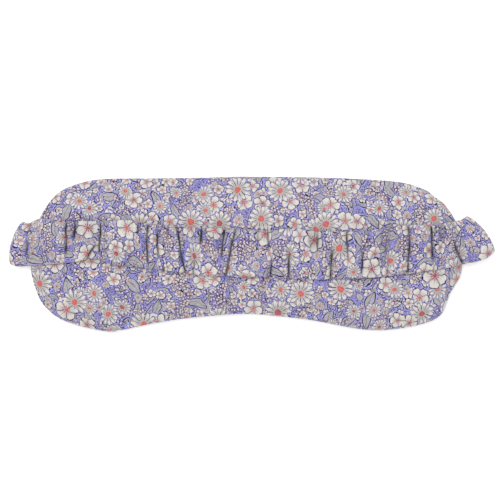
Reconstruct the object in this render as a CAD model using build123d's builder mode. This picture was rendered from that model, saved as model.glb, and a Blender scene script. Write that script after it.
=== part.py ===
# Eye pillow with a ruched elastic strap, in millimetres.
#
# The pillow lies flat: +X runs along its length, +Y to its straight edge, away from the nose
# notch, and +Z up through its thickness. The origin is under the middle of the whole object,
# on the surface that it lies on. The strap leaves each side seam, folds back on itself and
# crosses the pillow's upper side.
#
# The cover is two panels sewn together at the seam level, round a calico bag of seed. The
# strap is a cloth tube with a flat elastic inside. It is divided into two end folds, which
# stay with the pillow, two links and a middle, because it bends between them in use.

import os

from build123d import *

os.makedirs("parts", exist_ok=True)

# Pillow outline: its right half at the seam, from the middle of the straight edge round the
# side and the eye lobe to the nose notch. The left half is its mirror image.
half_length = 107.5
half_width = 38.75
half_outline = [
    (0, half_width),
    (25, 38.6),
    (50, 38),
    (72, 37.1),
    (86, 34.4),
    (96.5, 27.2),
    (103.2, 17),
    (106.9, 5.5),
    (107.2, -6),
    (104, -18),
    (98, -27.5),
    (88, -34.8),
    (76, -38.2),
    (62, -38.4),
    (45, -35.8),
    (24, -32.1),
    (0, -30.4),
]

# Thickness of the filled pillow, above and below the seam level
seam_z = 6.5
upper_height = 10.5
lower_height = 6.5
upper_shoulder = 26  # from the seam in to the level crown
lower_shoulder = 14  # from the seam in to the flat that it lies on
dome_steps = (0, 0.05, 0.2, 0.45, 0.75, 1)  # shares of the shoulder where sections stand

# Cloth, thread and filling
cover_cloth = 0.6
calico = 0.4
seam_allowance = 5
thread = 0.5
seam_line = 1.4  # from the edge in to the machine stitches
closing_line = 0.75  # from the edge in to the stitches that shut the turning gap
closing_span = (-84, -58)  # where the turning gap was, along X
bag_inset = 9.0  # from the pillow's edge in to the bag's edge
bag_gap = 0.5
fill_gap = 0.3

# Strap
strap_thickness = 4.4
strap_half_middle = 11.75
strap_half_end = 10.5
strap_rise_end = 4.8  # how far the strap's ends lie towards the straight edge
strap_wall = 0.6
strap_gap = 0.4  # above the pillow
elastic_thickness = 1.2
elastic_share = 0.78  # of the strap's width
link_x = 113  # where the strap leaves its end fold
middle_x = 18  # half the length of its middle
cut_gap = 0.3  # between the spans
fold_x = 116.3  # centre of the end fold
fold_radius = 2.35  # of the strap's middle layer round the end fold
tab_half = 1.3  # half the thickness where the strap passes the side seam
tab_end_x = 99
tab_edge_x = 109.5
tack_x = 100.6
tack_length = 16
tack_stitches = 5


def rise(share):
    """Height of the domed shoulder, as a share of the full height, from the seam inwards."""
    return (1 - (1 - min(share, 1)) ** 2) ** 0.75


def outline(inset):
    """Edges of the whole outline, drawn in by the inset along both axes."""
    across_x, across_y = 1 - inset / half_length, 1 - inset / half_width
    right = [(x * across_x, y * across_y) for x, y in half_outline]
    left = [(-x, y) for x, y in reversed(right[1:-1])]
    with BuildLine() as line:
        Spline(*right, *left, periodic=True)
    return line.edges()


def dome(inset, height, shoulder, side):
    """Closed half of a pillow form on the seam level. Side is 1 for the upper half."""
    with BuildPart() as half:
        for share in dome_steps:
            with BuildSketch(Plane.XY.offset(seam_z + side * height * rise(share))):
                make_face(outline(inset + shoulder * share))
        loft()
    return half.part


def ring(outer, inner, z_from, z_to):
    """Flat ring that follows the outline between two insets."""
    with BuildPart() as band:
        with BuildSketch(Plane.XY.offset(z_from)):
            make_face(outline(outer))
            make_face(outline(inner), mode=Mode.SUBTRACT)
        extrude(amount=z_to - z_from)
    return band.part


def shell(inset, cloth, height, shoulder, side):
    """Domed panel with its seam allowance turned in at the seam level."""
    level = seam_z + min(0, side * cloth)
    with BuildPart() as panel:
        add(dome(inset, height, shoulder, side))
        add(dome(inset + cloth, height - cloth, shoulder, side), mode=Mode.SUBTRACT)
        add(ring(inset + cloth / 2, inset + cloth + seam_allowance, level, level + cloth))
    return panel.part


def lying_height(x):
    """Level of the strap's underside where it lies on the pillow, or on its own end fold."""
    share = (half_length - abs(x)) / upper_shoulder
    on_pillow = seam_z + upper_height * rise(max(share, 0)) + strap_gap
    return max(on_pillow, seam_z + 2 * fold_radius - strap_thickness / 2)


def stations(x_from, x_to):
    """Places along X for the strap's curves, close together over the pillow's shoulders."""
    steps = [-109, -106.5, -104, -101, -97, -93, -88, -82, -60, -30]
    steps += [0] + [-x for x in reversed(steps)]
    return [x_from] + [x for x in steps if x_from + 1 < x < x_to - 1] + [x_to]


def strap_span(x_from, x_to, low, high, share):
    """Length of strap between two heights above its underside, over a share of its width."""
    xs = stations(x_from, x_to)
    with BuildPart() as span:
        with BuildSketch(Plane.XZ):
            with BuildLine():
                below = Spline(*[(x, lying_height(x) + low) for x in xs])
                above = Spline(*[(x, lying_height(x) + high) for x in xs])
                Line(below @ 0, above @ 0)
                Line(below @ 1, above @ 1)
            make_face()
        extrude(amount=2 * half_width, both=True)
        with BuildSketch(Plane.XY):
            with BuildLine():
                front = Spline(*[strap_edge(x, -share) for x in xs])
                back = Spline(*[strap_edge(x, share) for x in xs])
                Line(front @ 0, back @ 0)
                Line(front @ 1, back @ 1)
            make_face()
        extrude(amount=4 * seam_z, mode=Mode.INTERSECT)
    return span.part


def strap_edge(x, share):
    """Point on a long edge of the strap, seen from above. It sags towards the middle."""
    end = (x / link_x) ** 2
    half = strap_half_middle + (strap_half_end - strap_half_middle) * end
    return x, strap_rise_end * end + share * half


def end_fold(half, tab, share):
    """Left end fold: out of the side seam, round and back, as thick as twice half."""
    level, top = seam_z, seam_z + 2 * fold_radius
    centre = (-fold_x, seam_z + fold_radius)
    flare = -(tab_edge_x + link_x) / 2
    with BuildPart() as fold:
        with BuildSketch(Plane.XZ.offset(-strap_rise_end)):
            with BuildLine():
                Polyline(
                    (-fold_x, level - half),
                    (flare, level - half),
                    (-tab_edge_x, level - tab),
                    (-tab_end_x, level - tab),
                    (-tab_end_x, level + tab),
                    (-tab_edge_x, level + tab),
                    (flare, level + half),
                    (-fold_x, level + half),
                )
                CenterArc(centre, fold_radius - half, 90, 180)
                Polyline(
                    (-fold_x, top - half),
                    (-link_x - cut_gap / 2, top - half),
                    (-link_x - cut_gap / 2, top + half),
                    (-fold_x, top + half),
                )
                CenterArc(centre, fold_radius + half, 90, 180)
            make_face()
        extrude(amount=strap_half_end * share, both=True)
    return fold.part


def finish(part, label):
    """Name a piece and write it."""
    part.label = label
    export_step(part, f"parts/{label}.step")


# Threads, which the panels and the strap ends are cut for
with BuildPart() as perimeter_seam:
    add(ring(seam_line, seam_line + thread, seam_z - thread / 2, seam_z + thread / 2))
finish(perimeter_seam.part, "perimeter_seam")

closing_width = closing_span[1] - closing_span[0]
with BuildPart() as closing_seam:
    add(ring(closing_line, closing_line + 0.8 * thread, seam_z - thread / 2, seam_z + thread / 2))
    with Locations(((closing_span[0] + closing_span[1]) / 2, -half_width, seam_z)):
        Box(closing_width, half_width, 4 * thread, mode=Mode.INTERSECT)
finish(closing_seam.part, "closing_seam")

with BuildPart() as left_tack:
    for z in (seam_z + tab_half, seam_z - tab_half - thread):
        with BuildSketch(Plane.XY.offset(z)):
            with Locations((-tack_x, strap_rise_end)):
                SlotOverall(tack_length, 2 * thread, rotation=90)
        extrude(amount=thread)
    with BuildSketch(Plane.XY.offset(seam_z - tab_half)):
        with Locations((-tack_x, strap_rise_end)):
            with GridLocations(1, tack_length / tack_stitches, 1, tack_stitches):
                Circle(thread / 2)
    extrude(amount=2 * tab_half)
finish(left_tack.part, "left_tack")

with BuildPart() as right_tack:
    add(left_tack.part)
    mirror(about=Plane.YZ, mode=Mode.REPLACE)
finish(right_tack.part, "right_tack")

# End folds of the strap: the cloth tube and the elastic inside it
wall_share = 1 - strap_wall / strap_half_end
with BuildPart() as strap_cover_left_end:
    add(end_fold(strap_thickness / 2, tab_half, 1))
    add(
        end_fold(strap_thickness / 2 - strap_wall, tab_half - strap_wall, wall_share),
        mode=Mode.SUBTRACT,
    )
    add(perimeter_seam.part, mode=Mode.SUBTRACT)
    add(left_tack.part, mode=Mode.SUBTRACT)
finish(strap_cover_left_end.part, "strap_cover_left_end")

with BuildPart() as elastic_left_end:
    add(end_fold(elastic_thickness / 2, elastic_thickness / 2, elastic_share))
    add(perimeter_seam.part, mode=Mode.SUBTRACT)
    add(left_tack.part, mode=Mode.SUBTRACT)
finish(elastic_left_end.part, "elastic_left_end")

for left, label in (
    (strap_cover_left_end, "strap_cover_right_end"),
    (elastic_left_end, "elastic_right_end"),
):
    with BuildPart() as right_end:
        add(left.part)
        mirror(about=Plane.YZ, mode=Mode.REPLACE)
    finish(right_end.part, label)

# Cover panels, each with a slot at both side seams for the strap to pass through
for label, height, shoulder, side in (
    ("front_panel", upper_height, upper_shoulder, 1),
    ("back_panel", lower_height, lower_shoulder, -1),
):
    with BuildPart() as panel:
        add(shell(0, cover_cloth, height, shoulder, side))
        add(perimeter_seam.part, mode=Mode.SUBTRACT)
        add(closing_seam.part, mode=Mode.SUBTRACT)
        with Locations((0, strap_rise_end, seam_z)):
            with GridLocations(2 * half_length, 1, 2, 1):
                Box(
                    2 * (half_length - tab_end_x),
                    2 * strap_half_end,
                    2 * tab_half,
                    mode=Mode.SUBTRACT,
                )
    finish(panel.part, label)

# Calico bag, its seam and the seed that it holds
bag_upper = upper_height - cover_cloth - bag_gap
bag_lower = lower_height - cover_cloth - bag_gap
bag_upper_shoulder = upper_shoulder - bag_inset + 2
bag_lower_shoulder = lower_shoulder - bag_inset + 4
bag_seam_line = bag_inset + seam_line
with BuildPart() as inner_bag_seam:
    add(ring(bag_seam_line, bag_seam_line + thread, seam_z - thread / 2, seam_z + thread / 2))
finish(inner_bag_seam.part, "inner_bag_seam")

for label, height, shoulder, side in (
    ("inner_bag_front", bag_upper, bag_upper_shoulder, 1),
    ("inner_bag_back", bag_lower, bag_lower_shoulder, -1),
):
    with BuildPart() as panel:
        add(shell(bag_inset, calico, height, shoulder, side))
        add(inner_bag_seam.part, mode=Mode.SUBTRACT)
    finish(panel.part, label)

fill_inset = bag_inset + calico + seam_allowance + fill_gap
fill_upper = bag_upper - calico - fill_gap
fill_lower = bag_lower - calico - fill_gap
with BuildPart() as filling:
    add(dome(fill_inset, fill_upper, bag_upper_shoulder - seam_allowance + 1, 1))
    add(dome(fill_inset, fill_lower, bag_lower_shoulder - seam_allowance + 1, -1))
finish(filling.part, "filling")

# Strap between its end folds: two links and the middle, each with cloth, elastic and the
# thread that closes the tube on its underside
clear = cut_gap / 2
elastic_low = (strap_thickness - elastic_thickness) / 2
for label, x_from, x_to in (
    ("left", -link_x + clear, -middle_x - clear),
    ("middle", -middle_x + clear, middle_x - clear),
    ("right", middle_x + clear, link_x - clear),
):
    with BuildPart() as cover:
        add(strap_span(x_from, x_to, 0, strap_thickness, 1))
        add(
            strap_span(
                x_from, x_to, strap_wall, strap_thickness - strap_wall, wall_share
            ),
            mode=Mode.SUBTRACT,
        )
    finish(cover.part, f"strap_cover_{label}")
    with BuildPart() as elastic:
        add(
            strap_span(
                x_from, x_to, elastic_low, elastic_low + elastic_thickness, elastic_share
            )
        )
    finish(elastic.part, f"elastic_{label}")
    with BuildPart() as tube_seam:
        seam_share = thread / 2 / strap_half_middle
        add(strap_span(x_from, x_to, strap_wall, strap_wall + thread, seam_share))
    finish(tube_seam.part, f"strap_seam_{label}")
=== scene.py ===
import math

import bpy
import numpy as np
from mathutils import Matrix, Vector


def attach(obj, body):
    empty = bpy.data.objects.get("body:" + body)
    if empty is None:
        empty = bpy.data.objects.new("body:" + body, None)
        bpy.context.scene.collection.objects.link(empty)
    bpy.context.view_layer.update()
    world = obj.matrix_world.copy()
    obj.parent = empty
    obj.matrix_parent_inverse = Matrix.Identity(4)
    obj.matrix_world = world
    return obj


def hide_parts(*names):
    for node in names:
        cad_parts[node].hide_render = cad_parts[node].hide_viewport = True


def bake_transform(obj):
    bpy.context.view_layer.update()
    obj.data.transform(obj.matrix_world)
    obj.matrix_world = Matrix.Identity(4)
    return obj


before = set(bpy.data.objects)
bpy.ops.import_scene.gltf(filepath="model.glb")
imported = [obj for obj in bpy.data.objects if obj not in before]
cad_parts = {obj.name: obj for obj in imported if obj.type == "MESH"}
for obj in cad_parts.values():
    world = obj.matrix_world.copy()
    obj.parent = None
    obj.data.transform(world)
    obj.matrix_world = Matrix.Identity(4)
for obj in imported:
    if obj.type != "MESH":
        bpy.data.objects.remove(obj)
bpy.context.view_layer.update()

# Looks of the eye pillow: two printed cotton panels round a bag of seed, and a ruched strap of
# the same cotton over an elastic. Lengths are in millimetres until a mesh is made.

MM = 0.001
RNG = np.random.default_rng(7)

# Cloth and thread
CLOTH = 0.35  # thickness of the printed cotton
CLOTH_UNIT = 100.0  # millimetres of flat cloth in one unit of the cloth UV map
# Where on the print each piece is cut
FRONT_CUT, BACK_CUT, STRAP_CUT = (150.0, 60.0), (430.0, 60.0), (40.0, 200.0)
WEAVE_PITCH, WEAVE_RELIEF = 0.34, 0.06
SEAM_THREAD, STRAP_THREAD = 0.17, 0.16  # radii
SEAM_STITCH, STRAP_STITCH = (2.6, 2.3), (2.9, 2.4)  # pitch and length
LADDER_PITCH = 3.2

# Pillow
HALF_LENGTH, HALF_WIDTH = 107.5, 38.75
SEAM_Z = 6.5
UPPER, LOWER = 10.9, 6.3  # rise of each panel above and below the seam
UPPER_SHOULDER, LOWER_SHOULDER = 27.0, 15.0  # how far in from the outline each dome is full
DOME = 0.72  # how full the domes' shoulders are: less is fuller
GRID_X, GRID_Y = 100, 36
SWELL_FRAMES = 24
SWELL_LIMIT = 2.6  # how far the simulation may move a point
UNDER_STRAP = 10.45  # rise of the upper panel where the strap crosses it
BESIDE_STRAP = 1.3  # how much further it may rise beside the strap
SOFT_FLOOR = 0.35  # height under which the lower panel flattens
SEAM_PART = 0.32  # half the groove between the panels at the seam
# Bends of the seam allowance: depth inside the outline, and share of the groove left open there
TURN_IN = ((1.5, 0.35), (3.4, 0.3))
CLOSING_SPAN = (-84, -58)  # where along x the turning gap was
STRAP_EXIT, STRAP_EXIT_HALF = 4.6, 10.3  # where along y the strap leaves the side seam
NO_STITCHES = (-8.5, 17.5)  # part of the side seam where the strap hides the stitches
# Outline at the seam, clockwise from the middle of the straight edge
OUTLINE = [
    (0, 39.1), (30, 38.9), (58, 37.8), (76, 36.2), (87, 33.1), (95.2, 27.7), (101.8, 20.4),
    (105.9, 12), (107.6, 3), (107.7, -5.5), (106.9, -11.5), (102.5, -19), (99.3, -26),
    (95.6, -31.6), (87, -35.6), (77, -37.7), (66, -38.7), (55, -37.9), (45, -36.1), (33, -33.8),
    (17, -31.8), (0, -30.4), (-17, -31.4), (-35, -33.3), (-50, -35.9), (-60, -38.0),
    (-64.6, -38.6), (-66.6, -39.3), (-70, -39.1), (-76, -38.1), (-85, -36.0), (-94, -32.2),
    (-101.5, -25.6), (-105.2, -18.5), (-107.6, -9), (-107.4, 0), (-106, 10), (-102.2, 20),
    (-96, 28.2), (-90, 32.8), (-81, 36.4), (-70, 37.9), (-45, 38.3), (-20, 38.7),
]

# Strap
FOLD_RADIUS = 2.0
FOLD_Z = 8.9
FOLD_BOW = 1.7  # how far the middle of each fold stands out beyond its ends
FOLD_EASE = 9  # length over which the strap comes down from a fold to the pillow
SKEW_LEFT, SKEW_RIGHT = 14, 17  # length over which each fold's slant straightens out
STRAP_GAP = 0.3  # between the strap and the pillow
STRAP_LOW = 2.2  # least height of its underside above the seam
STRAP_HALF = 1.75  # half its thickness, between creases
SEWN_HALF = 0.55  # half its thickness where it is pressed in the side seams
PRESSED = 7  # length over which it opens from the seam to its full thickness
PUFF = 0.75  # how far the outer face stands up between creases
TAKE_UP = 1.8  # length of cloth hidden in a crease, for each millimetre of its depth
TAKEN_DEPTH = 2.4  # depth beyond which a crease takes up no more cloth
DARK_DEPTH = 2.8  # depth from which a crease's painted shade is as dark as it gets
GENTLE, STEEP = 4.5, 2.2  # reach of a crease's two sides, in widths of its slit
ELASTIC_SHARE = 0.62  # its width, as a share of the strap's
STRAP_STEP = 0.28
AROUND = 48
# Its long edges as seen from above: towards the straight edge, and towards the notch
BACK_EDGE = [
    (-113, 15.6), (-108, 15.9), (-103, 17.0), (-97, 16.6), (-90, 16.2), (-80, 15.9), (-72, 15.8),
    (-62, 16.4), (-54, 15.6), (-46, 14.5), (-38, 13.7), (-25, 12.9), (-10, 12.6), (5, 11.4),
    (20, 12.0), (34, 11.4), (42, 10.9), (50, 10.6), (58, 11.0), (66, 12.2), (78, 13.9), (90, 14.4),
    (98, 15.1), (104, 16.0), (109.8, 18.4),
]
FRONT_EDGE = [
    (-119, -4.6), (-108, -5.6), (-100, -5.2), (-90, -4.4), (-83, -3.6), (-77, -2.5), (-73, -2.4),
    (-69, -3.9), (-62, -5.6), (-55, -6.5), (-40, -7.9), (-24, -10.2), (-8, -10.9), (8, -11.2),
    (20, -11.9), (34, -12.3), (50, -12.0), (64, -11.2), (78, -9.6), (92, -7.8), (100, -6.6),
    (108, -4.9), (114, -3.6), (123, -0.5),
]
# Ends of each fold line, and of the line where the strap leaves the side seam
LEFT_FOLD = ((-118.0, -4.9), (-112.1, 15.8))
LEFT_SEAM = ((-103.5, -5.4), (-101.5, 14.6))
RIGHT_FOLD = ((123.5, 1.7), (109.7, 18.8))
RIGHT_SEAM = ((103.5, -6.6), (102.0, 11.0))
# Creases: place at the back edge, at the front edge, where it starts and ends across the
# strap from -1 at the front edge to 1 at the back edge, and depth
CREASES = [
    (-110.6, -107.4, -0.45, 0.05, 1.5), (-110.0, -109.6, 0.55, 1, 1.5),
    (-88.2, -88.6, -0.55, 1, 2.3), (-84.4, -84.9, 0.2, 1, 1.8), (-71.9, -72.2, -0.6, 1, 2.3),
    (-66.0, -78.5, -1, -0.35, 2.0), (-53.7, -54.2, 0.55, 1, 1.3), (-48.8, -48.9, -0.75, 1, 2.4),
    (-43.6, -44.0, -0.4, 0.65, 1.9), (-38.4, -38.8, 0.6, 0.95, 1.0), (-34.6, -30.4, -1, 1, 2.3),
    (-22.8, -22.4, 0.4, 1, 2.0), (-25.0, -26.4, -1, -0.4, 0.9),
    (-11.2, -12.8, -0.15, 1, 2.0), (-5.6, -10.6, -0.95, 0.9, 2.4), (10.4, 9.7, 0.25, 1, 1.6),
    (12.8, 11.4, -1, -0.3, 1.9), (21.6, 20.4, -1, 0, 1.6), (34.4, 34.0, 0.3, 1, 1.2),
    (41.8, 41.2, -1, 0.15, 2.1), (49.2, 48.9, 0.0, 0.9, 1.7), (56.0, 56.4, -0.75, 0.1, 2.1),
    (68.0, 69.2, -1, -0.3, 0.7), (66.0, 65.2, 0.4, 1, 0.8), (79.4, 79.2, -1, 1, 2.4),
    (90.0, 91.0, -0.4, 1, 2.2), (94.8, 95.0, 0.45, 0.85, 1.5), (97.8, 103.9, -1, 0.0, 3.2),
    (102.8, 102.2, 0.45, 1, 1.3),
]
CREASE_DEPTH = 1.5  # scale of the depths above
SLIT_WIDTHS = (0.5, 0.72)
MINOR_CREASES = 40

# Studio. A light is its place and size in metres, and its power in watts
WHITE_FLOOR = (0.93, 0.93, 0.935)
FLOOR_GLOW = 0.3
FLOOR_HALF = 2000
KEY_LIGHT = ((-0.15, 0.2, 1.0), 0.35, 4.4)
TOP_LIGHT = ((0.25, -0.1, 1.3), 0.9, 2.8)
WORLD_LIGHT = 0.6
CAMERA_PLACE = (1.5, 1.9, 694 + SEAM_Z)
LENS, SENSOR = 100, 36


# -------- curves and meshes

def closed_curve(points, per_span=16):
    """Smooth closed run through the points."""
    here = np.array(points, float)[:, None]
    before, after, later = (np.roll(here, shift, 0) for shift in (1, -1, -2))
    t = np.linspace(0, 1, per_span, endpoint=False)[None, :, None]
    curve = (
        2 * here
        + (after - before) * t
        + (2 * before - 5 * here + 4 * after - later) * t**2
        + (3 * here - before - 3 * after + later) * t**3
    ) / 2
    return curve.reshape(-1, 2)


def smooth_line(points, x):
    """Height of a smooth line through the points at each x."""
    xs, ys = np.array(points, float).T
    slopes = np.gradient(ys, xs)
    i = np.clip(np.searchsorted(xs, x) - 1, 0, len(xs) - 2)
    width = xs[i + 1] - xs[i]
    t = np.clip((x - xs[i]) / width, 0, 1)
    return (
        ys[i] * (2 * t**3 - 3 * t**2 + 1)
        + slopes[i] * width * (t**3 - 2 * t**2 + t)
        + ys[i + 1] * (3 * t**2 - 2 * t**3)
        + slopes[i + 1] * width * (t**3 - t**2)
    )


def distance_along(points):
    """Distance from the first point to each, along the line through them."""
    return np.r_[0, np.cumsum(np.linalg.norm(np.diff(points, axis=0), axis=1))]


def resample(at, run, points):
    """Points at places along a run, from the points that lie along it."""
    return np.stack([np.interp(at, run, column) for column in points.T], 1)


def signed_power(x, power):
    """Power of the size of x, with the sign of x. A low one squares off a round section."""
    return np.sign(x) * np.abs(x) ** power


def smoothstep(low, high, x):
    """0 below low, 1 above high, and a smooth step between them."""
    t = np.clip((np.asarray(x, float) - low) / (high - low), 0, 1)
    return t * t * (3 - 2 * t)


def lay_cloth(mesh, corners):
    """UV map with each corner's place on the flat cloth."""
    layer = mesh.uv_layers.new(name="cloth")
    layer.data.foreach_set("uv", (np.asarray(corners) / CLOTH_UNIT).ravel())


def make_piece(name, points, faces, cloth=None, material=None):
    """Mesh object from millimetres, with a UV map of its place on the flat cloth."""
    mesh = bpy.data.meshes.new(name)
    mesh.from_pydata([tuple(p) for p in np.asarray(points) * MM], [], faces)
    mesh.polygons.foreach_set("use_smooth", [True] * len(mesh.polygons))
    if cloth is not None:
        corners = np.empty(len(mesh.loops), np.int32)
        mesh.loops.foreach_get("vertex_index", corners)
        lay_cloth(mesh, np.asarray(cloth)[corners])
    if material is not None:
        mesh.materials.append(material)
    mesh.update()
    piece = bpy.data.objects.new(name, mesh)
    bpy.context.scene.collection.objects.link(piece)
    return piece


def apply_modifiers(piece):
    """Replaces the piece's mesh with what its modifiers make of it."""
    graph = bpy.context.evaluated_depsgraph_get()
    mesh = bpy.data.meshes.new_from_object(piece.evaluated_get(graph), depsgraph=graph)
    piece.modifiers.clear()
    old, piece.data = piece.data, mesh
    mesh.name = piece.name
    bpy.data.meshes.remove(old)


def thicken(piece, levels):
    """Rounds the piece by subdivision and gives its cloth a thickness, inwards."""
    if levels:
        rounding = piece.modifiers.new("rounding", "SUBSURF")
        rounding.levels = rounding.render_levels = levels
        rounding.uv_smooth = "PRESERVE_BOUNDARIES"
    cloth = piece.modifiers.new("cloth", "SOLIDIFY")
    cloth.thickness = CLOTH * MM
    cloth.offset = -1
    apply_modifiers(piece)


# -------- shader nodes

class Nodes:
    """Short calls that add nodes to one material and return their outputs."""

    def __init__(self, name):
        self.material = bpy.data.materials.new(name)
        self.material.use_nodes = True
        self.tree = self.material.node_tree
        self.shader = self.tree.nodes["Principled BSDF"]

    def put(self, socket, value):
        """Links an output to the socket, or sets the socket's value."""
        if isinstance(value, bpy.types.NodeSocket):
            self.tree.links.new(value, socket)
        else:
            socket.default_value = value

    def add(self, kind, inputs=None, **settings):
        """New node, with its inputs put and its settings made."""
        node = self.tree.nodes.new(kind)
        for key, value in settings.items():
            setattr(node, key, value)
        for key, value in (inputs or {}).items():
            self.put(node.inputs[key], value)
        return node

    def math(self, operation, *values, clamp=False):
        """Result of an operation on numbers."""
        node = self.add("ShaderNodeMath", operation=operation, use_clamp=clamp)
        for socket, value in zip(node.inputs, values):
            self.put(socket, value)
        return node.outputs[0]

    def times(self, a, b):
        """Product of two numbers."""
        return self.math("MULTIPLY", a, b)

    def plus(self, a, b):
        """Sum of two numbers."""
        return self.math("ADD", a, b)

    def minus(self, a, b):
        """Difference of two numbers."""
        return self.math("SUBTRACT", a, b)

    def ramp(self, value, slope, start, clamp=False):
        """Number times a slope, plus a start."""
        return self.math("MULTIPLY_ADD", value, slope, start, clamp=clamp)

    def vector(self, operation, *values, out="Vector"):
        """Result of an operation on vectors."""
        node = self.add("ShaderNodeVectorMath", operation=operation)
        for socket, value in zip(node.inputs, values):
            self.put(socket, value)
        return node.outputs[out]

    def axes(self, vector):
        """The three numbers of a vector."""
        return self.add("ShaderNodeSeparateXYZ", {0: vector}).outputs

    def scaled(self, vector, factor):
        """Vector times a number."""
        node = self.add("ShaderNodeVectorMath", {"Scale": factor}, operation="SCALE")
        self.put(node.inputs[0], vector)
        return node.outputs[0]

    def mix(self, factor, low, high):
        """Colour between low and high."""
        node = self.add("ShaderNodeMix", {"Factor": factor}, data_type="RGBA")
        self.put(node.inputs["A"], low)
        self.put(node.inputs["B"], high)
        return node.outputs["Result"]

    def blend(self, factor, low, high):
        """Number between low and high."""
        return self.ramp(factor, self.minus(high, low), low)

    def soft(self, distance, width):
        """0 outside and 1 inside an edge, over a width."""
        return self.ramp(distance, 1 / width, 0.5, clamp=True)

    def over(self, value, limit, width):
        """0 where a value is under a limit and 1 where it is over, softened over a width."""
        return self.soft(self.minus(value, limit), width)

    def surface(self, inputs):
        """Puts values on the material's shader, by the names of its inputs."""
        for key, value in inputs.items():
            self.put(self.shader.inputs[key], value)

    def relief(self, height, depth, strength):
        """Bumps of a depth in millimetres, from a height of 0 to 1."""
        inputs = {"Strength": strength, "Distance": depth * MM, "Height": height}
        self.surface({"Normal": self.add("ShaderNodeBump", inputs).outputs[0]})

    def noise(self, vector, scale, detail=2.0, out="Factor"):
        """Smooth noise, as a number or as a colour."""
        inputs = {"Vector": vector, "Scale": scale, "Detail": detail}
        node = self.add("ShaderNodeTexNoise", inputs, noise_dimensions="2D")
        return node.outputs[0 if out == "Factor" else 1]


def linear(red, green, blue):
    """Colour from 8-bit sRGB numbers."""
    def one(c):
        c /= 255
        return c / 12.92 if c <= 0.04045 else ((c + 0.055) / 1.055) ** 2.4
    return (one(red), one(green), one(blue), 1)


# Colours, and the ink of the print
GROUND = linear(168, 164, 230)
GROUND_DEEP = linear(149, 144, 212)
PETAL = linear(215, 210, 203)
PETAL_SHADE = linear(180, 171, 184)
LEAF = linear(188, 185, 186)
LEAF_SHADE = linear(158, 154, 164)
# Painted shade, laid into the strap's creases
SHADOW = linear(28, 22, 42)
INK = linear(32, 20, 38)
PLUM = linear(64, 20, 64)
CORAL = linear(216, 112, 104)
RED_BROWN = linear(146, 70, 82)
FLORET = linear(213, 205, 211)
THREAD_LILAC = linear(196, 190, 214)
ELASTIC_WHITE = linear(236, 234, 228)
ELASTIC_GREY = linear(170, 168, 172)
CALICO = linear(226, 216, 196)
CALICO_WORN = linear(188, 176, 150)
INK_WIDTH, MOAT = 0.46, 0.34  # an outline, and the ground left clear round it
FOLD_SHADE = 0.97  # how dark the painted shade makes the cloth at the bottom of a crease


def cells(n, place, cell, spread, seed):
    """Scatter over the cloth: x, y, distance and turn from the nearest centre, and its randoms."""
    moved = n.vector("ADD", n.scaled(place, 1 / cell), (seed * 7.31, seed * 3.77, 0))
    scatter = n.add(
        "ShaderNodeTexVoronoi",
        {"Vector": moved, "Scale": 1.0, "Randomness": spread},
        voronoi_dimensions="2D",
    )
    local = n.scaled(n.vector("SUBTRACT", moved, scatter.outputs["Position"]), cell)
    x, y, _ = n.axes(local)
    rand = n.add("ShaderNodeSeparateColor", {0: scatter.outputs["Color"]}).outputs
    turn = n.ramp(rand[0], 2 * math.pi, n.math("ARCTAN2", y, x))
    return x, y, n.vector("LENGTH", local, out="Value"), turn, rand


def inked(n, below, edge, kept, inside, ink=INK, width=INK_WIDTH, moat=MOAT):
    """What is inside an edge, with an outline of ink and a rim of clear ground round it."""
    clear = n.times(n.soft(n.plus(edge, width + moat), 0.2), kept)
    halo = n.times(n.soft(n.plus(edge, width), 0.12), kept)
    core = n.times(n.soft(edge, 0.12), kept)
    ground = n.mix(clear, below, GROUND) if moat else below
    return n.mix(core, n.mix(halo, ground, ink), inside)


def flowers(n, place, below, cell, radius, share, daisies, seed):
    """Layer of daisies and rounder five-petal blossoms over a colour, in a share of the cells."""
    _, _, r, turn, rand = cells(n, place, cell, 0.85, seed)
    other = n.math("FRACT", n.times(rand[0], 7.13))
    kept = n.math("LESS_THAN", other, share)
    size = n.ramp(rand[2], radius * 0.4, radius * 0.75)
    part = n.math("DIVIDE", r, size)
    daisy = n.math("LESS_THAN", rand[1], daisies)
    half_turns = n.times(turn, n.ramp(daisy, 4.0, 2.5))
    wave = n.math("ABSOLUTE", n.math("COSINE", half_turns))
    lobes = n.math("POWER", wave, n.blend(daisy, 0.42, 0.8))
    lobes = n.blend(lobes, n.blend(daisy, 0.58, 0.42), 1.0)
    ruffle = n.ramp(n.noise(place, 1.1, 1.0), 1.0, -0.5)
    edge = n.plus(n.minus(n.times(size, lobes), r), ruffle)
    petal = petal_colour(n, part, wave, half_turns, daisy)
    eye, colour = flower_middle(n, place, part, size, half_turns, daisy, other, share)
    return inked(n, below, edge, kept, n.mix(eye, petal, colour))


def petal_colour(n, part, wave, half_turns, daisy):
    """Petals: darker towards the middle, parted by ink, with fine veins."""
    petal = n.mix(n.math("SUBTRACT", 0.75, part, clamp=True), PETAL, PETAL_SHADE)
    parting = n.over(n.blend(daisy, 0.16, 0.42), wave, 0.15)
    parting = n.times(parting, n.over(part, 0.3, 0.15))
    vein_turns = n.times(half_turns, n.blend(daisy, 3.0, 1.0))
    vein = n.math("ABSOLUTE", n.math("SINE", vein_turns))
    line = n.over(n.blend(daisy, 0.2, 0.26), vein, 0.2)
    line = n.times(line, n.over(0.66, part, 0.12))
    lines = n.math("MAXIMUM", n.times(parting, 0.9), n.times(line, 0.6))
    return n.mix(lines, petal, INK)


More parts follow.
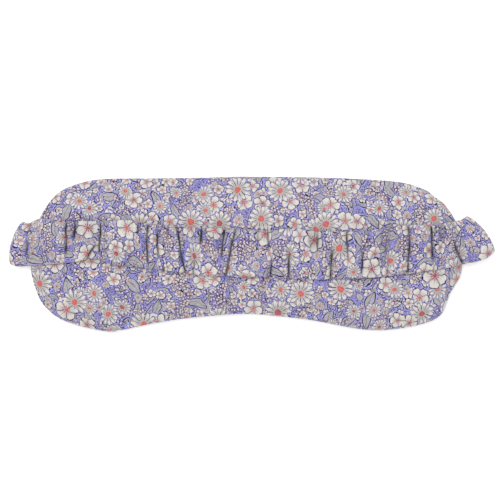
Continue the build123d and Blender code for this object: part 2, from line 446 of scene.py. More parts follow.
def flower_middle(n, place, part, size, half_turns, daisy, other, share):
    """Middle of a flower: a coral button on a daisy, a ring of stamens on a blossom."""
    button = n.soft(n.times(n.minus(0.25, part), size), 0.25)
    off_ring = n.math("ABSOLUTE", n.minus(part, 0.25))
    beads = n.soft(n.math("COSINE", n.times(half_turns, 4.0)), 0.7)
    ring = n.times(n.over(0.12, off_ring, 0.07), beads)
    dot = n.over(0.15, part, 0.08)
    eye = n.blend(daisy, n.math("MAXIMUM", ring, dot), button)
    brown = n.math("GREATER_THAN", other, share * 0.7)
    rim = n.math("SUBTRACT", n.times(part, 4.0), 0.6, clamp=True)
    tone = n.ramp(n.noise(place, 1.6, 1.0), 2.4, -1.1)
    tone = n.plus(tone, n.times(rim, 0.7))
    tone = n.plus(tone, n.blend(daisy, 0.3, 0.0))
    tone = n.math("ADD", tone, n.times(brown, 0.5), clamp=True)
    return eye, n.mix(tone, CORAL, RED_BROWN)


def leaves(n, place, below, cell, length, width, share, seed):
    """Layer of grey pointed leaves with a midrib and veins, in a share of the cells."""
    x, y, _, _, rand = cells(n, place, cell, 0.9, seed)
    angle = n.times(rand[1], 2 * math.pi)
    cos, sin = n.math("COSINE", angle), n.math("SINE", angle)
    along = n.plus(n.times(x, cos), n.times(y, sin))
    side = n.minus(n.times(y, cos), n.times(x, sin))
    bow = n.times(n.times(along, along), 0.03)
    across = n.math("ABSOLUTE", n.minus(side, bow))
    kept = n.math("LESS_THAN", rand[0], share)
    ends = n.times(along, 1 / length)
    body = n.minus(1.0, n.times(ends, ends))
    breadth = n.blend(rand[2], width * 0.75, width * 1.2)
    edge = n.minus(n.times(body, breadth), across)
    phase = n.times(n.ramp(across, -1.2, along), 4.4)
    veins = n.over(n.math("SINE", phase), 0.72, 0.4)
    rib = n.over(0.12, across, 0.18)
    tone = n.ramp(n.noise(place, 0.6, 1.0), 1.2, -0.2, clamp=True)
    colour = n.mix(tone, LEAF, LEAF_SHADE)
    lines = n.math("MAXIMUM", n.times(veins, 0.4), n.times(rib, 0.75))
    return inked(n, below, edge, kept, n.mix(lines, colour, INK))


def florets(n, place, below, cell, radius, limit, seed):
    """Clusters of tiny florets with inked edges. They cover more where the limit is low."""
    _, _, r, turn, _ = cells(n, place, cell, 0.6, seed)
    field = n.noise(n.vector("ADD", place, (seed * 31.0, 5.0, 0)), 0.1, 1.0)
    kept = n.over(field, limit, 0.03)
    wave = n.math("ABSOLUTE", n.math("COSINE", n.times(turn, 2.5)))
    edge = n.minus(n.ramp(wave, radius * 0.3, radius * 0.7), r)
    dot = n.over(radius * 0.26, r, 0.2)
    inside = n.mix(n.times(dot, 0.8), FLORET, RED_BROWN)
    return inked(n, below, edge, kept, inside, PLUM, 0.3, 0)


def stems(n, place, below):
    """Fine inked stems and curls on the ground."""
    swirl = n.noise(place, 0.2, 2.6)
    line = n.math("ABSOLUTE", n.math("SINE", n.times(swirl, 66.0)))
    fleck = n.noise(n.vector("ADD", place, (3.0, 11.0, 0)), 1.1, 1.0)
    lines = n.over(0.42, line, 0.3)
    flecks = n.over(fleck, 0.6, 0.06)
    return n.mix(n.times(n.math("MAXIMUM", lines, flecks), 0.85), below, INK)


def weave(n, place, pitch):
    """Height of a plain weave."""
    x, y, _ = n.axes(n.scaled(place, math.pi / pitch))
    return n.times(n.math("SINE", x), n.math("SINE", y))


def finish_cloth(n, place, colour, pitch, relief, roughness):
    """Weave relief, uneven yarn, painted shade between the weave's threads, and a soft sheen."""
    height = weave(n, place, pitch)
    slub = n.noise(n.vector("MULTIPLY", place, (0.35, 3.0, 1)), 1.0)
    shade = n.ramp(n.minus(slub, 0.5), 0.22, 1.0)
    # Painted shade: the colour is a little darker where the weave dips and lighter on its crests
    shade = n.ramp(height, 0.05, shade)
    n.surface({
        "Base Color": n.scaled(colour, shade),
        "Roughness": n.ramp(height, -0.05, roughness),
        "Sheen Weight": 0.12, "Sheen Roughness": 0.5, "Specular IOR Level": 0.2,
    })
    n.relief(height, relief, 0.35)
    return n.material


def cloth_place(n):
    """Millimetres on the flat cloth."""
    uv = n.add("ShaderNodeUVMap", uv_map="cloth")
    return n.scaled(uv.outputs[0], CLOTH_UNIT)


def printed_cotton():
    """Fine cotton with a dense small floral print on a periwinkle ground."""
    n = Nodes("printed_cotton")
    place = cloth_place(n)
    wobble = n.vector("SUBTRACT", n.noise(place, 0.3, 1.5, out="Color"), (0.5, 0.5, 0.5))
    drawn = n.vector("ADD", place, n.scaled(wobble, 1.5))
    colour = n.mix(n.noise(place, 0.5, 1.0), GROUND, GROUND_DEEP)
    colour = stems(n, drawn, colour)
    colour = florets(n, drawn, colour, cell=1.8, radius=0.62, limit=0.52, seed=1)
    colour = leaves(n, drawn, colour, cell=5.8, length=3.2, width=1.1, share=0.66, seed=2)
    colour = flowers(n, drawn, colour, cell=4.2, radius=1.8, share=0.55, daisies=0.3, seed=8)
    colour = flowers(n, drawn, colour, cell=5.6, radius=2.3, share=0.7, daisies=0.4, seed=3)
    colour = leaves(n, drawn, colour, cell=10.5, length=5.0, width=1.9, share=0.42, seed=4)
    colour = florets(n, drawn, colour, cell=1.8, radius=0.62, limit=0.58, seed=7)
    colour = flowers(n, drawn, colour, cell=9.8, radius=4.1, share=0.64, daisies=0.4, seed=5)
    colour = flowers(n, drawn, colour, cell=15.5, radius=5.8, share=0.52, daisies=0.72, seed=6)
    # Painted shade in the strap's creases: the fold attribute darkens the print towards SHADOW
    fold = n.add("ShaderNodeAttribute", attribute_name="fold").outputs["Fac"]
    colour = n.mix(n.times(fold, FOLD_SHADE), colour, SHADOW)
    return finish_cloth(n, place, colour, WEAVE_PITCH, WEAVE_RELIEF, 0.86)


def own_place(n):
    """Millimetres in the piece's own coordinates."""
    return n.scaled(n.add("ShaderNodeTexCoord").outputs["Object"], 1 / MM)


def plain_weave(name, colour, pitch, relief, roughness):
    """Plain cloth with a thread now and then a little darker."""
    n = Nodes(name)
    place = own_place(n)
    yarn = n.noise(n.vector("MULTIPLY", place, (0.2, 2.2, 1)), 1.0)
    worn = n.mix(n.times(yarn, 0.25), colour, CALICO_WORN)
    return finish_cloth(n, place, worn, pitch, relief, roughness)


def spun(name, colour, pitch):
    """Twisted sewing thread."""
    n = Nodes(name)
    x, y, z = n.axes(n.scaled(own_place(n), 2 * math.pi / pitch))
    ply = n.math("SINE", n.plus(n.plus(x, y), z))
    shade = n.ramp(ply, 0.5, 0.5)
    n.surface({"Base Color": n.mix(n.times(shade, 0.3), colour, INK),
               "Roughness": n.ramp(shade, 0.12, 0.55)})
    n.relief(shade, 0.05, 0.3)
    return n.material


def knitted(name, colour):
    """Woven elastic, with ribs along it and fine cross threads."""
    n = Nodes(name)
    x, y, _ = n.axes(n.scaled(own_place(n), 2 * math.pi))
    ribs = n.math("SINE", n.times(y, 0.9))
    rungs = n.math("SINE", n.times(x, 1.4))
    height = n.ramp(rungs, 0.4, ribs)
    shade = n.ramp(height, 0.12, 0.2, clamp=True)
    n.surface({"Base Color": n.mix(shade, colour, ELASTIC_GREY),
               "Roughness": n.ramp(height, -0.05, 0.75)})
    n.relief(height, 0.1, 0.5)
    return n.material


def linseed():
    """Linseed with bits of dried lavender."""
    n = Nodes("seed")
    stretched = n.vector("MULTIPLY", own_place(n), (0.5, 0.8, 0.8))
    grains = n.add("ShaderNodeTexVoronoi", {"Vector": stretched, "Scale": 1.0}).outputs
    rand = n.add("ShaderNodeSeparateColor", {0: grains["Color"]}).outputs
    colour = n.mix(rand[0], linear(96, 58, 34), linear(148, 98, 60))
    colour = n.mix(n.math("GREATER_THAN", rand[1], 0.88), colour, linear(120, 108, 140))
    # Painted shade: darker in the gaps between the grains
    edge = n.times(grains["Distance"], grains["Distance"])
    gap = n.math("MULTIPLY", edge, 0.8, clamp=True)
    n.surface({"Base Color": n.mix(gap, colour, linear(48, 28, 18)),
               "Roughness": n.blend(rand[2], 0.3, 0.5)})
    n.relief(n.minus(1.0, edge), 0.6, 0.8)
    return n.material


# -------- pillow

def rise(share):
    """Height of the domed shoulder, as a share of the full height, from the seam inwards."""
    return (1 - (1 - np.clip(share, 0, 1)) ** 2) ** DOME


def pillow_plan():
    """Plan of a panel: an even grid that ends on the outline, and each point's inset."""
    u, v = np.meshgrid(
        np.linspace(-1, 1, GRID_X + 1), np.linspace(-1, 1, GRID_Y + 1), indexing="ij"
    )
    x, y = u * np.sqrt(1 - v * v / 2), v * np.sqrt(1 - u * u / 2)
    edge = closed_curve(OUTLINE)
    unit = edge / (HALF_LENGTH, HALF_WIDTH)
    angles = np.arctan2(unit[:, 1], unit[:, 0])
    order = np.argsort(angles)
    reach = np.interp(
        np.arctan2(y, x), angles[order], np.hypot(*unit.T)[order], period=2 * math.pi
    )
    stretch = 1 + (reach - 1) * (x * x + y * y)
    plan = np.stack([x * stretch * HALF_LENGTH, y * stretch * HALF_WIDTH], -1).reshape(-1, 2)
    inset = np.array([np.hypot(*(edge - p).T).min() for p in plan])
    return plan, inset


def grid_faces(rows, columns, flip=False, wrap=False):
    """Quads of a grid of rows by columns. With wrap, the last column meets the first."""
    faces = []
    for i in range(rows - 1):
        for j in range(columns if wrap else columns - 1):
            k = (j + 1) % columns
            quad = (i * columns + j, (i + 1) * columns + j, (i + 1) * columns + k, i * columns + k)
            faces.append(quad[::-1] if flip else quad)
    return faces


def set_swelling(cloth):
    """Settings of a light, well damped cotton that swells between its pinned seams."""
    s = cloth.settings
    s.quality = 6
    s.mass = 0.2
    s.tension_stiffness = s.compression_stiffness = 20
    s.shear_stiffness = 8
    s.bending_stiffness = 0.4
    s.tension_damping = s.compression_damping = s.shear_damping = 8
    s.bending_damping = 0.5
    s.air_damping = 2
    s.vertex_group_mass = "seam"
    s.pin_stiffness = 1
    s.vertex_group_shrink = "seam"
    s.shrink_min = -0.045
    s.shrink_max = 0.0
    s.use_pressure = True
    s.uniform_pressure_force = 1.2
    s.effector_weights.gravity = 0
    cloth.collision_settings.use_collision = False
    cloth.collision_settings.use_self_collision = False


def inflate(points, faces, seam):
    """Cloth simulation of the two sewn panels. It runs ten times as large as life."""
    big = 10
    body = make_piece("pillow_cloth", points * big, faces)
    held = body.vertex_groups.new(name="seam")
    held.add([int(i) for i in seam], 1.0, "REPLACE")
    set_swelling(body.modifiers.new("cloth", "CLOTH"))
    scene = bpy.context.scene
    for step in range(SWELL_FRAMES):
        scene.frame_set(step + 1)
    graph = bpy.context.evaluated_depsgraph_get()
    result = body.evaluated_get(graph).to_mesh()
    moved = np.empty(3 * len(result.vertices))
    result.vertices.foreach_get("co", moved)
    body.evaluated_get(graph).to_mesh_clear()
    scene.frame_set(1)
    bpy.data.objects.remove(body)
    return moved.reshape(-1, 3) / big / MM


def strap_centre(x):
    """Middle of the strap across its width, seen from above."""
    return (smooth_line(BACK_EDGE, x) + smooth_line(FRONT_EDGE, x)) / 2


def strap_half(x):
    """Half the strap's width, seen from above."""
    return (smooth_line(BACK_EDGE, x) - smooth_line(FRONT_EDGE, x)) / 2


def pillow_surface():
    """Points of the upper and lower panels, with their plan and how far inside the outline."""
    plan, inset = pillow_plan()
    rows, columns = GRID_X + 1, GRID_Y + 1
    i, j = np.divmod(np.arange(rows * columns), columns)
    rim = (i == 0) | (i == rows - 1) | (j == 0) | (j == columns - 1)
    upper = np.c_[plan, SEAM_Z + UPPER * rise(inset / UPPER_SHOULDER)]
    lower = np.c_[plan, SEAM_Z - LOWER * rise(inset / LOWER_SHOULDER)]
    upper[rim, 2] = SEAM_Z
    inner = np.flatnonzero(~rim)
    index = np.arange(rows * columns)
    index[inner] = rows * columns + np.arange(len(inner))
    points = np.concatenate([upper, lower[inner]])
    faces = grid_faces(rows, columns)
    faces += [tuple(int(index[k]) for k in face[::-1]) for face in faces]
    moved = inflate(points, faces, np.flatnonzero(rim))
    change = moved - points
    length = np.linalg.norm(change, axis=1, keepdims=True)
    points = points + change * np.minimum(1, SWELL_LIMIT / np.maximum(length, 1e-6))
    return points[: rows * columns], points[index], plan, inset


def shape_panels(upper, lower, inset):
    """Flat where the pillow lies, and pressed a little where the strap crosses it."""
    x, y = upper[:, 0], upper[:, 1]
    across = np.abs(y - strap_centre(x)) / strap_half(x)
    under_strap = 1 - smoothstep(0.9, 1.5, across)
    limit = SEAM_Z + UNDER_STRAP * rise(inset / UPPER_SHOULDER) + BESIDE_STRAP * (1 - under_strap)
    over = np.maximum(upper[:, 2] - limit, 0)
    upper[:, 2] -= over * (0.6 + 0.4 * under_strap)
    level = lower[:, 2] / SOFT_FLOOR
    lower[:, 2] = SOFT_FLOOR * np.where(level > 1, level, np.exp(np.minimum(level - 1, 0)))
    return upper, lower


def rim_ring():
    """Places of the grid's outer points in the list of points, in order round the rim."""
    rows, columns = GRID_X + 1, GRID_Y + 1
    ring = [i * columns for i in range(rows)]
    ring += [(rows - 1) * columns + j for j in range(1, columns)]
    ring += [i * columns + columns - 1 for i in range(rows - 2, -1, -1)]
    ring += list(range(columns - 2, 0, -1))
    return np.array(ring)


def turned_faces(ring, first, flip):
    """Quads that join the rim to the two rings of points of its turned-in edge."""
    bend = first + np.arange(len(ring))
    levels = (ring, bend, bend + len(ring))
    faces = []
    for a in range(len(ring)):
        b = (a + 1) % len(ring)
        for outer, inner in zip(levels, levels[1:]):
            quad = tuple(int(k) for k in (outer[a], inner[a], inner[b], outer[b]))
            faces.append(quad[::-1] if flip else quad)
    return faces


def panel_piece(name, points, plan, side, material, cloth_shift):
    """One panel with its edge turned in at the seam. Its side is 1 above the seam, -1 below."""
    points = points.copy()
    ring = rim_ring()
    edge = points[ring]
    along = np.roll(edge, -1, 0) - np.roll(edge, 1, 0)
    inward = np.c_[-along[:, 1], along[:, 0], np.zeros(len(ring))]
    inward /= np.linalg.norm(inward, axis=1, keepdims=True)
    at_strap = 1 - smoothstep(0.85, 1.1, np.abs(edge[:, 1] - STRAP_EXIT) / STRAP_EXIT_HALF)
    at_strap *= smoothstep(96, 101, np.abs(edge[:, 0]))
    opened = side * np.c_[np.zeros((len(ring), 2)), SEAM_PART + at_strap]
    points[ring] += opened
    bends = [edge + inward * depth + opened * share for depth, share in TURN_IN]
    cloth = [plan[ring] - inward[:, :2] * depth for depth, _ in TURN_IN]
    faces = grid_faces(GRID_X + 1, GRID_Y + 1, flip=side < 0)
    faces += turned_faces(ring, len(points), flip=side < 0)
    piece = make_piece(
        name, np.concatenate([points, *bends]), faces,
        np.concatenate([plan, *cloth]) + cloth_shift, material,
    )
    thicken(piece, 1)
    return piece


# -------- strap

def strap_height(x):
    """Level of the strap's underside on the pillow."""
    share = (HALF_LENGTH - np.abs(x)) / UPPER_SHOULDER
    return SEAM_Z + UNDER_STRAP * rise(share) + STRAP_GAP


def fold_frame(fold, inboard):
    """Ends of the fold's centre line, and its level direction outwards."""
    front, back = np.array(fold[0], float), np.array(fold[1], float)
    line = back - front
    out = np.array([-line[1], line[0]]) / np.hypot(*line)
    if out[0] * inboard > 0:
        out = -out
    pull = out * (FOLD_RADIUS + STRAP_HALF + PUFF * 0.8)
    return front - pull, back - pull, out


def end_stations(fold, seam, inboard):
    """Front edge, back edge and outward face of the strap, from the seam round the fold."""
    front, back, out = fold_frame(fold, inboard)
    seam_front, seam_back = np.array(seam[0], float), np.array(seam[1], float)
    stations = []
    for t in np.linspace(0, 1, 18)[:-1]:
        z = SEAM_Z + (FOLD_Z - FOLD_RADIUS - SEAM_Z) * smoothstep(0, 1, t)
        f, b = seam_front + (front - seam_front) * t, seam_back + (back - seam_back) * t
        stations.append((*f, z, *b, z, 0, 0, -1))
    for a in np.radians(np.linspace(-90, 90, 15)):
        level, z = out * math.cos(a), FOLD_Z + FOLD_RADIUS * math.sin(a)
        f, b = front + level * FOLD_RADIUS, back + level * FOLD_RADIUS
        stations.append((*f, z, *b, z, *level, math.sin(a)))
    return np.array(stations), front, back


def top_stations(left_front, left_back, right_front, right_back):
    """Stations of the strap where it lies on the pillow, from fold to fold."""
    start, end = (left_front[0] + left_back[0]) / 2, (right_front[0] + right_back[0]) / 2
    x = np.linspace(start, end, 400)[1:-1]
    skew_left = 1 - smoothstep(start, start + SKEW_LEFT, x)
    skew_right = smoothstep(end - SKEW_RIGHT, end, x)
    front_x = x + skew_left * (left_front[0] - start) + skew_right * (right_front[0] - end)
    back_x = x + skew_left * (left_back[0] - start) + skew_right * (right_back[0] - end)
    on_fold = np.maximum(
        1 - smoothstep(start, start + FOLD_EASE, x), smoothstep(end - FOLD_EASE, end, x)
    )
    z = np.maximum(strap_height(x), SEAM_Z + STRAP_LOW) + STRAP_HALF
    z += (FOLD_Z + FOLD_RADIUS - z) * on_fold
    up = np.stack([-np.gradient(z, x), np.zeros_like(x), np.ones_like(x)], 1)
    up /= np.linalg.norm(up, axis=1, keepdims=True)
    return np.c_[
        front_x, smooth_line(FRONT_EDGE, front_x), z, back_x, smooth_line(BACK_EDGE, back_x), z, up
    ]


def strap_stations():
    """Stations of the strap from its left seam to its right seam, evenly spaced."""
    left, *left_ends = end_stations(LEFT_FOLD, LEFT_SEAM, 1)
    right, *right_ends = end_stations(RIGHT_FOLD, RIGHT_SEAM, -1)
    rough = np.concatenate([left, top_stations(*left_ends, *right_ends), right[::-1]])
    middle = (rough[:, :3] + rough[:, 3:6]) / 2
    run = distance_along(middle)
    even = np.arange(0, run[-1], STRAP_STEP)
    stations = resample(even, run, rough)
    kernel = np.hanning(11)[1:-1]
    kernel /= kernel.sum()
    pad = len(kernel) // 2
    for column in stations.T:
        padded = np.r_[[column[0]] * pad, column, [column[-1]] * pad]
        column[:] = np.convolve(padded, kernel, "valid")
    return stations, even, run, middle[:, 0]


def crease_table(run, middle_x):
    """Creases by place along the strap's run: ends, extent, depth, width and which way it leans."""
    first, last = int(np.argmin(middle_x)), int(np.argmax(middle_x))

    def runs(x):
        return np.interp(x, middle_x[first : last + 1], run[first : last + 1])

    rows = []
    for back, front, low, high, deep in CREASES:
        rows.append((runs(back), runs(front), low, high, deep * CREASE_DEPTH,
                     RNG.uniform(*SLIT_WIDTHS), RNG.choice([-1, 1])))
    for _ in range(MINOR_CREASES):
        at, low = RNG.uniform(run[first] + 3, run[last] - 3), RNG.uniform(-1.3, 0.6)
        rows.append((at, at + RNG.normal(0, 1.2), low, low + RNG.uniform(0.5, 1.5),
                     RNG.uniform(0.3, 0.8), RNG.uniform(0.5, 1.0), RNG.choice([-1, 1])))
    return np.array(rows)


def gathers(s, v, table):
    """Depth of the gathers, the painted shade of each point in one, and the cloth taken up before.
    """
    depth, painted_fold_shade, taken = np.zeros_like(s), np.zeros_like(s), np.zeros_like(s)
    for back, front, low, high, deep, width, lean in table:
        away = s - (front + (back - front) * (v + 1) / 2 + 0.3 * np.sin(3.1 * v + back))
        fade = smoothstep(low - 0.25, low + 0.12, v) * (1 - smoothstep(high - 0.12, high + 0.25, v))
        slit = 1 / (1 + np.abs(away / width) ** 3.5)
        side = np.where(away * lean > 0, GENTLE, STEEP)
        shoulder = np.exp(-np.abs(away) / (side * width))
        depth += deep * fade * (0.75 * slit + 0.25 * shoulder)
        # Painted shade: darkest in the slit of a crease, a little on its shoulders, uneven along it
        uneven = 0.8 + 0.2 * np.sin(5.3 * v + 2 * back)
        painted_fold_shade += min(deep / DARK_DEPTH, 1) * fade * uneven * (1.1 * slit + 0.14 * shoulder)
        across = min(high, 1) - max(low, -1)
        taken += TAKE_UP * min(deep, TAKEN_DEPTH) * (across / 2) * smoothstep(-0.7, 0.7, away)
    return depth, np.minimum(painted_fold_shade, 1), taken


def strap_frames(stations):
    """Centre, reach to the back edge, and the outward direction."""
    front, back, up = stations[:, :3], stations[:, 3:6], stations[:, 6:9]
    up = up / np.linalg.norm(up, axis=1, keepdims=True)
    return (front + back) / 2, (back - front) / 2, up


def sewn_flat(even):
    """0 where the strap is pressed in the side seams, and 1 along the rest of its run."""
    return smoothstep(0, PRESSED, even) * (1 - smoothstep(even[-1] - PRESSED, even[-1], even))


def flat_cloth(stations, section, taken):
    """Places on the flat cloth: along the outer face with its creases, and round the tube."""
    centre, reach, up = strap_frames(stations)
    width = np.hypot(*reach.T[:2]).mean()
    section = section * (width, STRAP_HALF)
    around = distance_along(np.r_[section, section[:1]])
    along = distance_along(centre + up * (STRAP_HALF + PUFF))[:, None] + taken
    return np.stack([np.c_[along, along[:, :1]], np.repeat(around[None], len(centre), 0)], -1)


def strap_cover(stations, even, table):
    """Points of the ruched tube, their places on the flat cloth, and the painted shade of its
    creases.
    """
    count = len(stations)
    turn = np.linspace(0, 2 * math.pi, AROUND, endpoint=False)
    square = 0.62 - 0.44 * np.clip(1 - np.abs(stations[:, 8]), 0, 1)[:, None]  # boxy at the folds
    across, through = signed_power(np.cos(turn), 0.7), signed_power(np.sin(turn), square)
    s, v = np.repeat(even[:, None], AROUND, 1), np.repeat(across[None], count, 0)
    under = table + RNG.normal(0, 1.0, len(table))[:, None] * (1, 1, 0, 0, 0, 0, 0)
    top_side = smoothstep(-0.35, 0.35, through)
    # Depth and painted shade of the creases, on the outer face and on the underside
    (depth, painted_fold_shade, taken), below = gathers(s, v, table), gathers(s, v, under)
    depth, painted_fold_shade = (b + (a - b) * top_side for a, b in ((depth, below[0]), (painted_fold_shade, below[1])))

    centre, reach, up = strap_frames(stations)
    flat = sewn_flat(even)[:, None]
    outer = through > 0
    puff = PUFF + 0.3 * np.sin(even * 0.53 + 1.3 * np.sin(even * 0.21))[:, None]
    high = SEWN_HALF + (STRAP_HALF - SEWN_HALF) * flat + puff * flat * outer
    deepest = np.where(outer, high - 0.45, 0.5) * flat
    dent = deepest * np.tanh(depth / np.maximum(deepest, 0.1))
    pinch = 1 - 0.05 * np.minimum(depth, 2.0)
    bow = np.clip(through, 0, 1) * FOLD_BOW * (1 - v * v)
    points = (
        centre[:, None]
        + reach[:, None] * (across * pinch)[..., None]
        + up[:, None] * (through * (high - dent))[..., None]
        + (up * (1, 1, 0))[:, None] * bow[..., None]
    )
    section = np.stack([across, through[count // 2]], 1)
    return points, flat_cloth(stations, section, taken), painted_fold_shade * flat


def tube_piece(name, points, material, cloth=None, painted_fold_shade=None):
    """Mesh of a run of rings, open at both ends. The cloth has one more column, to close it."""
    rows, columns = points.shape[:2]
    faces = grid_faces(rows, columns, wrap=True)
    piece = make_piece(name, points.reshape(-1, 3), faces, material=material)
    if cloth is not None:
        places = []
        for i in range(rows - 1):
            for j in range(columns):
                places += [cloth[i, j], cloth[i + 1, j], cloth[i + 1, j + 1], cloth[i, j + 1]]
        lay_cloth(piece.data, places)
    # The painted shade of the creases, kept as the fold attribute
    if painted_fold_shade is not None:
        piece.data.attributes.new("fold", "FLOAT", "POINT").data.foreach_set("value", painted_fold_shade.ravel())
    return piece


def elastic_points(stations, even):
    """The flat elastic inside the cover."""
    centre, reach, up = strap_frames(stations)
    turn = np.linspace(0, 2 * math.pi, 20, endpoint=False)
    across = signed_power(np.cos(turn), 0.4) * ELASTIC_SHARE
    through = signed_power(np.sin(turn), 0.4)
    flat = sewn_flat(even)[:, None]
    level = -0.35 * flat + (0.12 + 0.16 * flat) * through
    return centre[:, None] + reach[:, None] * across[:, None] + up[:, None] * level[..., None]


def stitch_mesh(name, runs, radius, material):
    """Short lengths of thread, each tapered at its ends. Runs are lists of points."""
    points, faces = [], []
    turn = np.linspace(0, 2 * math.pi, 6, endpoint=False)
    for path in runs:
        path = np.asarray(path, float)
        ahead = np.gradient(path, axis=0)
        ahead /= np.linalg.norm(ahead, axis=1, keepdims=True)
        side = np.cross(ahead, (0.13, 0.21, 0.97))
        side /= np.linalg.norm(side, axis=1, keepdims=True)
        up = np.cross(side, ahead)
        ease = np.sin(np.linspace(0.12, math.pi - 0.12, len(path))) ** 0.4
        round_path = side[:, None] * np.cos(turn)[:, None] + up[:, None] * np.sin(turn)[:, None]
        rings = path[:, None] + radius * ease[:, None, None] * round_path
        first = len(points)
        points += list(rings.reshape(-1, 3))
        faces += [tuple(first + k for k in face) for face in grid_faces(len(path), 6, wrap=True)]
        faces += [tuple(first + k for k in range(6)),
                  tuple(first + 6 * (len(path) - 1) + k for k in range(5, -1, -1))]
    return make_piece(name, points, faces, material=material)


def strap_stitches(stations, even):
    """Stitches that close the cover, along the middle of its underside."""
    centre, _, up = strap_frames(stations)
    runs = []
    line = centre - up * (STRAP_HALF + 0.02)
    pitch, length = STRAP_STITCH
    for start in np.arange(8, even[-1] - 10.5, pitch):
        at = np.linspace(start, start + length, 6)
        bow = np.sin(np.linspace(0, math.pi, 6)) * 0.12
        runs.append(resample(at, even, line) - resample(at, even, up) * (bow - 0.08)[:, None])
    return runs


# -------- seams of the pillow

def outline_run():
    """Points along the outline, their inward directions and their distance along it."""
    edge = closed_curve(OUTLINE)
    along = np.roll(edge, -1, 0) - np.roll(edge, 1, 0)
    along /= np.linalg.norm(along, axis=1, keepdims=True)
    inward = np.c_[along[:, 1], -along[:, 0]]
    return edge, inward, distance_along(edge)


def seam_stitches():
    """Machine stitches seen down in the seam, except where the strap comes out of it."""
    edge, inward, run = outline_run()
    runs = []
    pitch, length = SEAM_STITCH
    for start in np.arange(0, run[-1] - 2.4, pitch):
        at = np.linspace(start, start + length, 5)
        place, turned = resample(at, run, edge), resample(at, run, inward)
        if abs(place[2, 0]) > 100 and NO_STITCHES[0] < place[2, 1] < NO_STITCHES[1]:
            continue
        bow = np.sin(np.linspace(0, math.pi, 5)) * 0.15
        runs.append(np.c_[place + turned * (1.05 - bow)[:, None], np.full(5, SEAM_Z)])
    return runs


def closing_stitches():
    """Ladder stitches down in the seam where the turning gap was shut by hand."""
    edge, inward, run = outline_run()
    gap = (edge[:, 1] < -30) & (edge[:, 0] > CLOSING_SPAN[0]) & (edge[:, 0] < CLOSING_SPAN[1])
    order = np.flatnonzero(gap)
    ladder = np.array([(0, 0.3), (0.9, 0.42), (1.4, 0.3), (1.6, -0.3), (2.1, -0.42), (3.0, -0.3)])
    runs = []
    for start in np.arange(run[order[0]], run[order[-1]], LADDER_PITCH):
        at = start + ladder[:, 0]
        place = resample(at, run, edge) + 0.45 * resample(at, run, inward)
        runs.append(np.c_[place, SEAM_Z + ladder[:, 1]])
    return runs


# -------- build

def build_pillow(cotton):
    """The two panels, cut from different places of the print."""
    upper, lower, plan, inset = pillow_surface()
    upper, lower = shape_panels(upper, lower, inset)
    front = panel_piece("pillow_front", upper, plan, 1, cotton, FRONT_CUT)
    back = panel_piece("pillow_back", lower, plan * (1, -1), -1, cotton, BACK_CUT)
    for piece, node in ((front, "front_panel"), (back, "back_panel")):
        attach(piece, "pillow")
        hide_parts(node)


def build_seams(thread):
    """The stitches of the pillow's seam and of its turning gap."""
    for name, runs, node in (("seam_stitches", seam_stitches(), "perimeter_seam"),
                             ("closing_stitches", closing_stitches(), "closing_seam")):
        piece = stitch_mesh(name, runs, SEAM_THREAD, thread)
        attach(piece, "pillow")
        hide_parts(node)


def bend_with_strap(piece, kind, side):
    """Bakes the half's place into its mesh and hides the CAD parts that it replaces."""
    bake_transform(piece)
    nodes = [f"{kind}_{side}"] + ([f"{kind}_{side}_end"] if kind != "strap_seam" else [])
    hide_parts(*(nodes + ([f"{kind}_middle"] if side == "left" else [])))


def build_strap(cotton, elastic, thread):
    """The cover, the elastic and its stitches, each in two halves that meet at the middle."""
    stations, even, run, middle_x = strap_stations()
    points, cloth, painted_fold_shade = strap_cover(stations, even, crease_table(run, middle_x))
    band = elastic_points(stations, even)
    split = int(np.argmin(np.abs(stations[:, 0] + stations[:, 3])))
    runs = strap_stitches(stations, even)
    for side, rows in (("left", slice(0, split + 1)), ("right", slice(split, None))):
        cover = tube_piece(
            f"strap_cover_{side}_half", points[rows], cotton, cloth[rows] + STRAP_CUT, painted_fold_shade[rows]
        )
        thicken(cover, 0)
        bend_with_strap(cover, "strap_cover", side)
        inner = tube_piece(f"elastic_{side}_half", band[rows], elastic)
        bend_with_strap(inner, "elastic", side)
        share = [r for r in runs if (r[2, 0] < 0) == (side == "left")]
        sewing = stitch_mesh(f"strap_stitches_{side}_half", share, STRAP_THREAD, thread)
        bend_with_strap(sewing, "strap_seam", side)


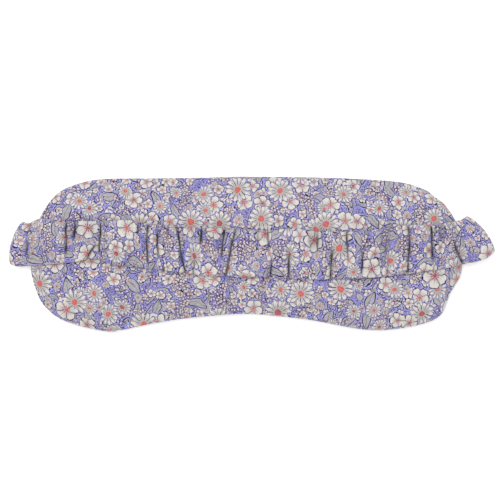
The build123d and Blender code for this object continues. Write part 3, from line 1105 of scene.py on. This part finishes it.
def camera():
    """Straight above the pillow."""
    data = bpy.data.cameras.new("camera")
    data.lens, data.sensor_width = LENS, SENSOR
    eye = bpy.data.objects.new("camera", data)
    eye.location = Vector(CAMERA_PLACE) * MM
    data.clip_start, data.clip_end = 0.05, 20
    bpy.context.scene.collection.objects.link(eye)
    bpy.context.scene.camera = eye


def area_light(name, place, size, power):
    """Round white light that faces the middle of the pillow."""
    data = bpy.data.lights.new(name, "AREA")
    data.shape, data.size, data.energy = "DISK", size, power
    lamp = bpy.data.objects.new(name, data)
    lamp.location = place
    lamp.rotation_euler = (-Vector(place)).to_track_quat("-Z", "Y").to_euler()
    bpy.context.scene.collection.objects.link(lamp)


def studio():
    """Plain colours, a white world, two soft lights and a white floor."""
    scene = bpy.context.scene
    scene.view_settings.view_transform = "Standard"
    scene.view_settings.look = "None"
    world = bpy.data.worlds.new("studio")
    scene.world = world
    world.use_nodes = True
    world.node_tree.nodes["Background"].inputs[0].default_value = (1, 1, 1, 1)
    world.node_tree.nodes["Background"].inputs[1].default_value = WORLD_LIGHT
    area_light("key", *KEY_LIGHT)
    area_light("top", *TOP_LIGHT)
    n = Nodes("floor")
    n.surface({"Base Color": (*WHITE_FLOOR, 1), "Roughness": 0.9,
               "Emission Color": (1, 1, 1, 1), "Emission Strength": FLOOR_GLOW})
    corners = [(x * FLOOR_HALF, y * FLOOR_HALF, 0) for x, y in ((-1, -1), (1, -1), (1, 1), (-1, 1))]
    make_piece("floor", corners, [(0, 1, 2, 3)], material=n.material)


def give_inside_materials(thread):
    """Materials of the CAD pieces that are kept: the inner bag, the filling and the tacks."""
    calico = plain_weave("calico", CALICO, 0.5, 0.08, 0.9)
    kept = {
        "inner_bag_front": calico, "inner_bag_back": calico, "inner_bag_seam": thread,
        "filling": linseed(), "left_tack": thread, "right_tack": thread,
    }
    for node, material in kept.items():
        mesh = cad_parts[node].data
        mesh.materials.clear()
        mesh.materials.append(material)


camera()
studio()
COTTON = printed_cotton()
THREAD = spun("thread", THREAD_LILAC, 0.28)
build_pillow(COTTON)
build_seams(THREAD)
build_strap(COTTON, knitted("elastic", ELASTIC_WHITE), THREAD)
give_inside_materials(THREAD)
